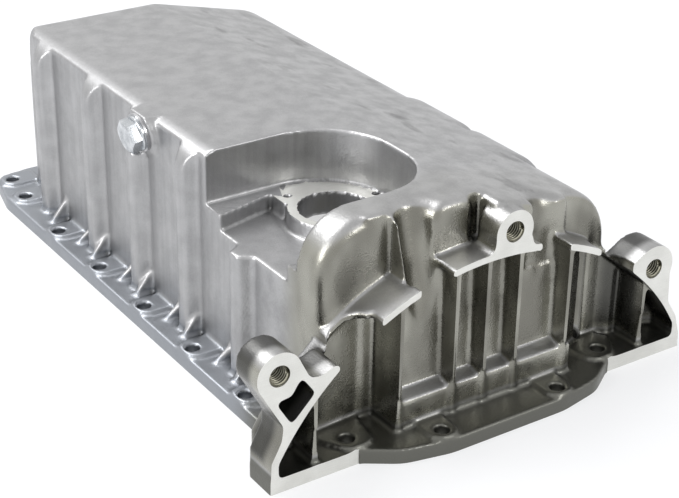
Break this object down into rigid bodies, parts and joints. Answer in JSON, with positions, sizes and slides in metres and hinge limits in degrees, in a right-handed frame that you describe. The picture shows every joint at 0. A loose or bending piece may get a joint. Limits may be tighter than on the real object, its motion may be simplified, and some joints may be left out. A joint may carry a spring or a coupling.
{
  "type": "engine oil pan",
  "caption": "Cast engine oil pan with a sensor recess, a bell-housing face on its end and a hexagonal drain plug in its side wall.",
  "frame": {"origin": "on the gasket face, on the flange's plane of symmetry, level with the bell-housing face", "axes": "+Z from the gasket face to the pan's bottom (the pan is upside down, as pictured), +Y from the bell-housing face to the far end, +X to the right seen along +Y"},
  "size_m": [0.2692, 0.4053, 0.118],
  "materials": {
    "cast_aluminium": "satin as cast",
    "zinc_plated_steel": "bright zinc plating",
    "washer_metal": "plain"
  },
  "bodies": {
    "casting": {"pan_casting": "cast_aluminium"},
    "washer": {"sealing_washer": "washer_metal"},
    "plug": {"drain_plug": "zinc_plated_steel"}
  },
  "joints": [
    {"name": "plug_travel", "type": "slide", "parent": "casting", "child": "washer", "axis": [-0.9848, 0, -0.1736], "range_m": [0, 0.012]},
    {"name": "plug_turn", "type": "hinge", "parent": "washer", "child": "plug", "pos_m": [-0.092, 0.1958, 0.1068], "axis": [-0.9848, 0, -0.1736], "range_deg": [0, 2880]}
  ],
  "couplings": [
    {"joint": "plug_turn", "follows": "plug_travel", "rad_per_m": 4188.8}
  ]
}
